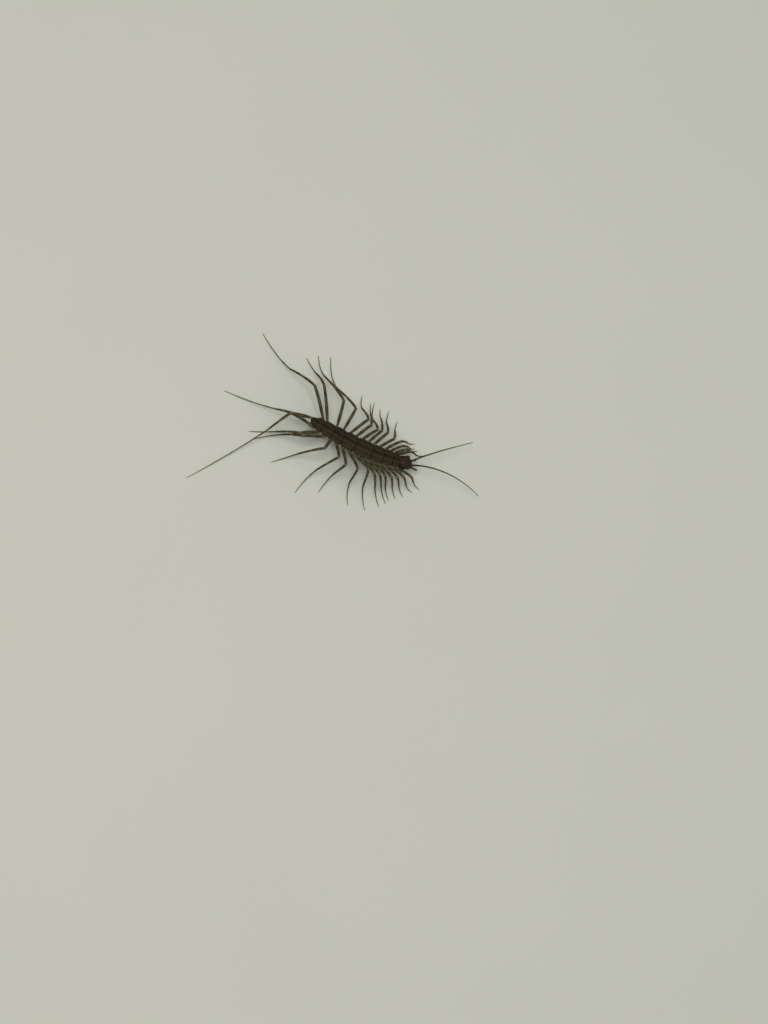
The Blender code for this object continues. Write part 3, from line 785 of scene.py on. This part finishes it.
def build_trunk():
    """One skin from the neck to the tail's end, with a plate on each segment's belly and a swelling
    where each leg joins, running up under the back plates."""
    rows, columns = 330, 96
    s = np.linspace(SKIN_START, SKIN_END, rows)[:, None]
    turn = np.arange(columns) / columns * 2.0
    share = np.where(turn <= 1.0, turn, 2.0 - turn)[None]
    back = back_half_width(s)
    wide = back - PLATE_OVERHANG
    stops = (0.0, 0.15, 0.28, 0.35, 0.5, 0.62, 0.75, 0.87, 1.0)
    outlines = np.hstack((0.0 * wide, 0.55 * back, back - 0.42, back - 0.33, wide + 0.1, wide, 0.9 * wide,
                          0.5 * wide, 0.0 * wide))
    heights = (1.02, 0.9, 0.64, 0.48, 0.1, -0.3, -0.72, -1.0, -1.08)
    side = np.stack([np.interp(share[0], stops, outline) for outline in outlines])
    side = side * np.where(turn < 1.0, 1.0, -1.0)
    up = np.broadcast_to(np.interp(share, stops, heights), (rows, columns))
    weights = np.array((1.0, 3.0, 4.0, 3.0, 1.0)) / 12.0
    for _ in range(2):
        side, up = (sum(w * np.roll(v, k - 2, 1) for k, w in enumerate(weights)) for v in (side, up))
    neck = 1.0 - 0.3 * drop(s, SKIN_START, 4.0)
    end = np.sqrt(np.clip(1.0 - rise(s, 25.6, 28.3) ** 1.5, 0.0, 1.0))
    close = np.sqrt(np.maximum(dome((s - 27.2) / 0.82), 0.002))
    taper = neck * (0.35 + 0.65 * end) * close
    side = side * taper
    up = np.where(up > 0.0, up * (0.4 + 0.6 * taper), up * taper)
    rings = body_place(s, side, up)

    behind = np.maximum(s - FIRST_LEG, 0.0) / LEG_ROW
    rank = (LEGS - 2) * behind ** (1.0 / LEG_SPREAD) + np.minimum(s - FIRST_LEG, 0.0) / LEG_SPACING
    from_leg = (rank - np.clip(np.round(rank), 0, LEGS - 1)) * LEG_SPACING
    apart = np.abs(from_leg)
    below = rise(share, 0.76, 0.86)
    flank = rise(share, 0.3, 0.42) * drop(share, 0.7, 0.8)
    belly = 0.07 * drop(apart, 0.4, 0.78) - 0.09 * hill(apart, 0.83, 0.12)
    belly = belly - 0.035 * hill(side, 0.0, 0.1) - 0.03 * hill(np.abs(side), 0.62 * wide, 0.07)
    socket = 0.12 * hill(apart, 0.0, 0.55) * hill(up, -COXA_DROP, 0.4)
    folds = 0.035 * np.cos(ROUND * (from_leg / 0.42 + 0.8 * up)) * rise(apart, 0.3, 0.6)
    creases = 0.014 * np.sin(11.0 * s + 5.0 * np.sin(7.0 * up)) * np.sin(9.0 * up + 3.0 * np.sin(5.0 * s))
    height = taper ** 2 * (below * belly + flank * (socket + folds) + creases * (1.0 - 0.5 * below))
    rings = rings + height[..., None] * outward(rings)
    # Painted light and shade: paler on the raised middle of each belly plate and on the crests of the folds,
    # darker in the grooves between them. The paler flanks are the skin's own tone.
    pale = 0.35 * flank + 0.4 * below * drop(apart, 0.5, 0.8) + 2.5 * (belly * below + folds * flank)
    tube_piece("underside_skin", "underside", rings, SKIN, ("trunk",), pale=pale)

    coat = Coat(17)
    lean = np.broadcast_to(unit(body_place(s + 0.1, 0.0, 0.0) - body_place(s, 0.0, 0.0)), rings.shape)
    places = on_unwrap(np.arange(rows)[:, None] / rows, np.arange(columns) / columns)
    surface = (rings, outward(rings), lean, places)
    coat.scatter(surface, SKIN_BRISTLES, below + 0.8 * flank, 7.0 / 12.0, (0.09, 0.2), 0.01)
    coat.make("underside_bristles", "underside")


# Back plates


def back_share(s):
    """Share of the back's length at s, for the unwrap."""
    return np.clip((s - PLATES_START) / (TAIL_START - PLATES_START + 2.0), 0.0, 1.0)


def plate_points(number, rows, columns):
    """A grid of points over one back plate, its shares along and across, and the points' s."""
    along = np.linspace(0.0, 1.0, rows)[:, None]
    even = np.linspace(-1.0, 1.0, columns)[None]
    across = even - 0.45 * even * hill(even, 0.0, 0.25)
    beside = np.abs(across)
    length = PLATE_LENGTHS[number - 1]
    start = PLATES_START + sum(PLATE_LENGTHS[:number - 1])
    last = number == len(PLATE_LENGTHS)
    notch = 0.0 if last else 0.34 + 0.04 * length
    front = start - 0.1 + 0.22 * across ** 4
    rear = start + length + 0.2 - notch * hill(across, 0.0, 0.26) - 0.5 * beside ** 5
    s = front + along * (rear - front)
    broad = np.interp(along, (0.0, 0.2, 0.6, 0.88, 1.0), (0.88, 0.955, 1.0, 0.985, 0.95))
    half = broad * back_half_width(np.clip(0.5 * (s + start + along * length), 0.0, TRUNK_END))
    side = across * half
    crown = 0.74 * (0.93 + 0.07 * rise(along, 0.0, 0.2))
    up = 0.5 + crown * (1.0 - beside ** 2.5) ** 0.52
    up += 0.1 * rise(along, 0.45, 1.0) - 0.09 * drop(along, 0.0, 0.18)
    if number == 1:
        up -= 0.22 * drop(along, 0.0, 0.7)
    edge = (1.0 - beside) * half
    rear_edge = rear - s
    rim = 0.045 * hill(edge, 0.05, 0.06) + 0.03 * hill(rear_edge, 0.06, 0.07) * (1.0 - across ** 8)
    furrow = 0.035 * hill(beside, 0.42, 0.09) * rise(along, 0.05, 0.3) + 0.05 * hill(edge, 0.2, 0.09)
    up += rim - furrow
    if not last:
        hump = 0.14 * hill(side, 0.0, 0.3) * rise(rear_edge, 1.5, 0.35)
        slit = 0.1 * hill(side, 0.0, 0.05) * rise(rear_edge, 0.0, 0.08) * drop(rear_edge, 0.62, 0.72)
        lips = 0.045 * hill(np.abs(side), 0.11, 0.05) * drop(rear_edge, 0.66, 0.84)
        up += hump - slit + lips
    ripple = 0.012 * np.sin(7.0 * s + 3.0 * side) * np.sin(6.0 * side - 2.0 * s)
    return body_place(s, side, up + ripple), along, across, s


def shell_from(top):
    """A thin closed shell under a grid of points, thinner at its edges."""
    rows, columns = top.shape[:2]
    under = top.copy()
    row = np.minimum(np.arange(rows), np.arange(rows)[::-1])[:, None]
    column = np.minimum(np.arange(columns), np.arange(columns)[::-1])[None]
    under[..., 2] -= SHELL_THICKNESS * (0.45 + 0.55 * rise(np.minimum(row, column), 0, 4))
    count = rows * columns
    points = np.vstack((top.reshape(-1, 3), under.reshape(-1, 3)))
    faces = grid_faces(rows, columns, False)
    numbered = np.arange(count).reshape(rows, columns)
    loop = np.concatenate((numbered[0, :-1], numbered[:-1, -1], numbered[-1, :0:-1], numbered[:0:-1, 0]))
    after = np.roll(loop, -1)
    rim = np.stack((after, loop, loop + count, after + count), 1)
    return points, [np.vstack((faces, faces[:, ::-1] + count, rim))]


def add_plate_bristles(coat, top, s, across, count):
    """Short spines over a plate and a fringe along its sides and rear."""
    rows, columns = top.shape[:2]
    normals = unit(np.cross(np.gradient(top, axis=0), np.gradient(top, axis=1)))
    normals = normals * np.where(normals[..., 2:] < 0.0, -1.0, 1.0)
    surface = (top, normals, unit(np.gradient(top, axis=0)), on_unwrap(back_share(s), 0.5 + 0.5 * across))
    sides = np.arange(3, rows - 1, 2)
    rear = np.linspace(2, columns - 3, columns // 3).astype(int)
    fringe = (np.concatenate((sides, sides, np.full(len(rear), rows - 1))),
              np.concatenate((np.full(len(sides), 1), np.full(len(sides), columns - 2), rear)))
    coat.scatter(surface, count, 1.0, 0.5, (0.08, 0.16), 0.012)
    coat.add_on(surface, fringe, 0.32, (0.1, 0.22), 0.012)


def add_tail(coat):
    """The tail piece: a small domed shield over the last pair of legs."""
    rows, columns = 52, 72
    along = np.linspace(0.0, 1.0, rows)[:, None]
    turn = ROUND * np.arange(columns)[None] / columns
    above = np.sin(turn) > 0.0
    front = TAIL_START - 0.25
    s = front + along * (BODY_LENGTH - front)
    narrowing = np.interp(along, (0.0, 0.35, 0.7, 0.9, 1.0), (0.95, 0.9, 0.7, 0.46, 0.3))
    round_front = np.maximum(dome((0.06 - along) / 0.06), 0.003)
    round_rear = np.maximum(dome((along - 0.86) / 0.14), 0.003)
    ends = np.sqrt(round_rear * round_front)
    side = TAIL_WIDTH * back_half_width(TAIL_START) * narrowing * ends * np.cos(turn)
    tall = np.where(above, 0.66 * (1.0 - 0.45 * along ** 2), 0.5)
    rings = body_place(s, side, 0.48 + 0.08 * along + tall * ends * np.sin(turn))
    ridge = 0.05 * hill(side, 0.0, 0.16) - 0.04 * hill(np.abs(side), 0.4, 0.1)
    rings = rings + (ridge * above)[..., None] * outward(rings)
    # The tail's front is darker as painted shade where it slides under the last plate. Its middle stripe and
    # pale sides are its own colour.
    tube_piece("shell_tail", "back_shell", rings, SHELL, ("tail",),
               stripe=0.75 * hill(side, 0.0, 0.25) + 0.5 * drop(along, 0.0, 0.25) + 0.3,
               pale=0.4 * hill(np.abs(side), 0.6, 0.25))
    surface = (rings, outward(rings), unit(np.gradient(rings, axis=0)),
               on_unwrap(back_share(s), np.arange(columns) / columns))
    coat.scatter(surface, TAIL_BRISTLES, np.sin(turn) > -0.3, 0.45, (0.1, 0.24), 0.012)


def build_plates():
    """Eight overlapping back plates with rims, a hump and breathing slit at each rear notch, and the
    blunt tail piece."""
    coat = Coat(23)
    for number, length in enumerate(PLATE_LENGTHS, 1):
        rows = int(26 + 14 * length)
        top, along, across, s = plate_points(number, rows, PLATE_COLUMNS)
        beside = np.abs(across)
        stripe = 0.8 * hill(across, 0.0, 0.22) + 0.6 * hill(beside, 0.62, 0.14)
        # Painted shade darkens each plate's front where it tucks under the plate before it, and the plate is
        # darker round s = 20. The rest is the plate's own dark stripes.
        stripe = stripe + 0.45 * drop(along, 0.0, 0.16) + 0.35 * hill(s, 20.0, 1.1)
        pale = 0.45 * hill(beside, 0.38, 0.1) + 0.85 * hill(beside, 0.93, 0.13)
        numbers = {"stripe": np.tile(stripe.reshape(-1), 2), "pale": np.tile(pale, 2 * len(s))}
        make_piece(f"shell_plate_{number}", "back_shell", *shell_from(top), SHELL, (f"back_plate_{number}",),
                   numbers)
        add_plate_bristles(coat, top, s, across, int(PLATE_BRISTLES * length))
    add_tail(coat)
    coat.make("back_bristles", "back_shell")


# Head


def eye_place(sign):
    """The middle of an eye, on the head's side towards its front."""
    front = 1.0 - EYE_AT / HEAD_LENGTH / HEAD_WIDEST
    half = HEAD_HALF_WIDTH * math.sqrt(1.0 - front ** 2)
    return body_place(EYE_AT, sign * (half - EYE_SUNK), EYE_LIFT)


def eye_axes():
    """Each way along an eye's main axes, with its radius that way."""
    turn = float(spine_heading(EYE_AT))
    ahead = np.array((math.cos(turn), math.sin(turn), 0.0))
    return list(zip((ahead, np.cross(UP, ahead), UP), EYE_RADII))


def eye_share(points, sign):
    """Distance of points from an eye's middle, where 1 is the eye's own surface."""
    apart = points - eye_place(sign)
    return np.sqrt(sum((apart @ way / radius) ** 2 for way, radius in eye_axes()))


def build_head():
    """The domed head with its forked seam, brow dips, eye rims, feeler sockets, cheeks and lip."""
    rows, columns = 120, 144
    share = np.linspace(0.006, 1.0, rows)[:, None] ** 1.5
    turn = ROUND * np.arange(columns)[None] / columns
    fullness = np.sqrt(1.0 - np.maximum(0.0, 1.0 - share / HEAD_WIDEST) ** 2)
    rear = np.maximum(0.0, share - HEAD_WIDEST) / (1.0 - HEAD_WIDEST)
    half = HEAD_HALF_WIDTH * fullness * (1.0 - HEAD_REAR_TAPER * rear ** 2)
    crown = HEAD_CROWN * (1.0 - HEAD_REAR_FALL * rear ** 2)
    tall = np.where(np.sin(turn) > 0.0, crown, HEAD_CHIN) * fullness
    back = np.linspace(0.0, 1.0, 12)[1:, None]
    closing = (0.55 + 0.45 * np.sqrt(1.0 - back ** 2).clip(0.02, 1.0)) * np.where(back < 0.99, 1.0, 0.05)
    half = np.vstack((half, half[-1] * closing))
    tall = np.vstack((tall, tall[-1] * closing))
    s = np.vstack((share * HEAD_LENGTH, HEAD_LENGTH + 0.14 * back)) + 0.0 * turn
    side = half * np.cos(turn)
    rings = body_place(s, side, tall * np.sin(turn))

    def from_mark(first, second):
        """Distance on the head, seen from above, to a straight mark between two places."""
        way = np.subtract(second, first)
        apart = np.stack((s, side), -1) - first
        along = np.clip(apart @ way / (way @ way), 0.0, 1.0)
        return np.linalg.norm(apart - along[..., None] * way, axis=-1)

    def on_mark(first, second, width):
        """1 on a straight mark between two places, falling to nothing beside it."""
        return hill(from_mark(first, second), 0.0, width)

    top = rise(np.sin(turn), 0.05, 0.3)
    chin = rise(-np.sin(turn), 0.25, 0.5)
    seam = np.min([from_mark(HEAD_FORK, end) for end in ((3.35, 0.0), (0.5, 0.62), (0.5, -0.62))], 0)
    seam_ends = rise(s, 0.45, 0.95) * drop(s, 3.0, 3.35)
    height = seam_ends * top * (0.022 * hill(seam, 0.13, 0.06) - 0.05 * hill(seam, 0.0, 0.055))
    height -= 0.06 * top * on_mark((0.75, 0.0), (1.2, 0.0), 0.24)
    height += 0.1 * top * hill(side, 0.0, 0.9) * hill(s, 2.0, 1.0)
    for _, sign in SIDES:
        height -= 0.05 * top * on_mark((1.5, 0.78 * sign), (2.3, 0.7 * sign), 0.28)
        eye = eye_share(rings, sign)
        height += 0.085 * hill(eye, 1.14, 0.11) - 0.06 * hill(eye, 1.42, 0.14)
        socket = np.linalg.norm(rings - body_place(0.12, FEELER_SIDE * sign, 0.06), axis=-1)
        height += 0.12 * hill(socket, 0.39, 0.07) - 0.12 * hill(socket, 0.0, 0.28)
        cheek = np.linalg.norm((rings - body_place(1.5, 1.35 * sign, -0.42)) / (1.3, 1.0, 1.0), axis=-1)
        height += 0.1 * hill(cheek, 0.0, 0.5) - 0.05 * hill(cheek, 0.72, 0.12)
    height += 0.03 * hill(s, 3.3, 0.08) - 0.06 * hill(s, 3.12, 0.07)
    lip = from_mark((0.35, -0.4), (0.35, 0.4))
    height += chin * (0.12 * hill(lip, 0.0, 0.26) - 0.06 * hill(lip, 0.42, 0.07))
    height *= np.minimum(1.0, fullness.min() + 4.0 * np.vstack((share, np.ones_like(back))))
    rings = rings + height[..., None] * outward(rings)

    mark = 0.75 * seam_ends * top * hill(seam, 0.0, 0.16) + 0.5 * top * hill(s, 3.25, 0.22)
    pale = 0.35 * chin
    for _, sign in SIDES:
        mark += 0.8 * hill(eye_share(rings, sign), 1.25, 0.3)
        mark += 0.45 * top * on_mark((1.9, 0.95 * sign), (2.9, 0.62 * sign), 0.2)
        pale = pale + 0.55 * top * on_mark((1.7, 0.5 * sign), (2.8, 0.42 * sign), 0.2)
    tube_piece("head_shell", "head", rings, HEAD, ("head",), mark=mark, pale=pale)

    coat = Coat(31)
    clear = np.minimum(eye_share(rings, 1.0), eye_share(rings, -1.0)) > 1.12
    places = on_unwrap(s / 3.6, np.arange(columns) / columns)
    surface = (rings, outward(rings), unit(np.gradient(rings, axis=0)), places)
    coat.scatter(surface, HEAD_BRISTLES, clear * (0.35 + top) * (s < 3.35), 0.62, (0.07, 0.16), 0.0085)
    coat.make("head_bristles", "head")


def build_eyes():
    """Each eye is an oval of many small domed facets, with a painted highlight on each facet's crown."""
    tilt = np.linspace(0.0, np.pi, 90)[1:-1, None]
    turn = ROUND * np.arange(150)[None] / 150
    ball = np.stack((np.sin(tilt) * np.cos(turn), np.sin(tilt) * np.sin(turn), np.cos(tilt) + 0.0 * turn), -1)
    rank = np.arange(EYE_FACETS) + 0.5
    level = 1.0 - 2.0 * rank / EYE_FACETS
    spiral = np.pi * (1.0 + math.sqrt(5.0)) * rank
    flat = np.sqrt(1.0 - level ** 2)
    centres = np.stack((flat * np.cos(spiral), flat * np.sin(spiral), level), 1)
    nearest = (ball.reshape(-1, 3) @ centres.T).max(1).reshape(ball.shape[:2])
    crown = dome(np.arccos(np.clip(nearest, -1.0, 1.0)) / 0.125)
    swell = (0.965 + 0.05 * crown)[..., None]
    shape = sum(ball[..., k, None] * swell * radius * way for k, (way, radius) in enumerate(eye_axes()))
    for side, sign in SIDES:
        # crown paints the top of each facet paler, as a painted highlight
        tube_piece(f"eye_facets_{side}", "eye", eye_place(sign) + shape, EYE, (f"eye_{side}",), crown=crown)


# Mouthparts


def mouth_limb(name, stands_for, sign, coat, route, shapes, sides, hairs, slim, dark_tip):
    """A jointed mouthpart through the places of its joints, ending in a dark point."""
    s, side, up = np.array(route).T
    points = body_place(s, side * sign, up)
    parts = [points[k:k + 2] for k in range(len(points) - 1)]
    line, along, ends = even_line(parts, MOUTH_STEP, MOUTH_CORNER)
    joints = (0.0, *ends)
    radius = round_ends(along, jointed(along, joints, shapes, 0.2, 0.07))
    band = rise(along, joints[-1] - dark_tip, joints[-1] - 0.1)
    for low, high in zip(joints, joints[1:]):
        band = np.maximum(band, 0.6 * hill((along - low) / (high - low), 0.55, 0.22))
    joint = np.max([hill(along, place, 0.1) for place in joints[1:-1]], 0)
    rings = limb_rings(line, radius, radius * slim, sides, 0.03)
    tube_piece(name, "mouthpart", rings, MOUTH, stands_for, band=band[:, None], joint=joint[:, None])
    picks = (6, int(len(along) * 0.92), hairs)
    size = np.ones_like(along)
    coat.grow_anywhere((line, along, radius, radius), size, picks, 0.55, (0.1, 0.26), 0.011)


def build_mouthparts():
    """Leg-like palps, the curved poison claws under the head, claw bases, jaws, inner lobes and a lip."""
    coat = Coat(41)
    for side, sign in SIDES:
        for name, solid, *form in MOUTHPARTS:
            stands_for = (f"{solid}_{side}",) if solid else ()
            mouth_limb(f"{name}_{side}", stands_for, sign, coat, *form)
    mouth_limb("upper_lip", (), 1.0, coat, *LIP)
    coat.make("mouth_bristles", "mouthpart")


# Stage


def look_from(place, way, roll):
    """The pose of a camera or lamp at a place in metres that looks along way, turned by roll."""
    back = unit(-np.asarray(way, float))
    level = unit(np.cross(UP, back))
    turn = math.radians(roll)
    right = math.cos(turn) * level + math.sin(turn) * np.cross(back, level)
    rows = np.column_stack((right, np.cross(back, right), back, place))
    return Matrix([list(row) for row in rows] + [[0.0, 0.0, 0.0, 1.0]])


def put_in_scene(name, data):
    """A new object of the scene, not part of the model."""
    made = bpy.data.objects.new(name, data)
    bpy.context.scene.collection.objects.link(made)
    return made


def build_stage():
    """A plain pale floor, two broad soft lights over it and even light from all round."""
    reach = FLOOR_HALF * MM
    corners = [(x * reach, y * reach, 0.0) for x, y in ((-1, -1), (1, -1), (1, 1), (-1, 1))]
    mesh = bpy.data.meshes.new("floor")
    mesh.from_pydata(corners, [], [(0, 1, 2, 3)])
    look = Look("floor", 0.9, 0.1)
    colour = look.blend(look.noise(60.0, 2.0), FLOOR_GREY, tuple(0.97 * c for c in FLOOR_GREY))
    mesh.materials.append(look.finish(colour))
    floor = put_in_scene("floor", mesh)
    for name, place, size, watts in LIGHTS:
        light = bpy.data.lights.new(name, "AREA")
        light.size = size
        light.energy = watts
        put_in_scene(name, light).matrix_world = look_from(place, -np.array(place), 0.0)
    world = bpy.data.worlds.new("studio")
    world.use_nodes = True
    background = world.node_tree.nodes["Background"].inputs
    background["Color"].default_value = STUDIO_WHITE
    background["Strength"].default_value = STUDIO_LIGHT
    bpy.context.scene.world = world
    bpy.context.scene.view_settings.view_transform = "Standard"


def build_camera():
    """The photograph's view, turned with the floor."""
    camera = bpy.data.cameras.new("camera")
    camera.sensor_fit = "VERTICAL"
    camera.sensor_height = 36.0
    camera.lens = camera.sensor_height * CAMERA_FAR / PICTURE_TALL
    way = unit(np.array(CAMERA_WAY))
    viewer = put_in_scene("camera", camera)
    viewer.matrix_world = look_from((np.array(CAMERA_AIM) + CAMERA_FAR * way) * MM, -way, CAMERA_ROLL)
    bpy.context.scene.camera = viewer


build_camera()
build_stage()
build_head()
build_eyes()
build_mouthparts()
build_feelers()
build_trunk()
build_plates()
build_legs()
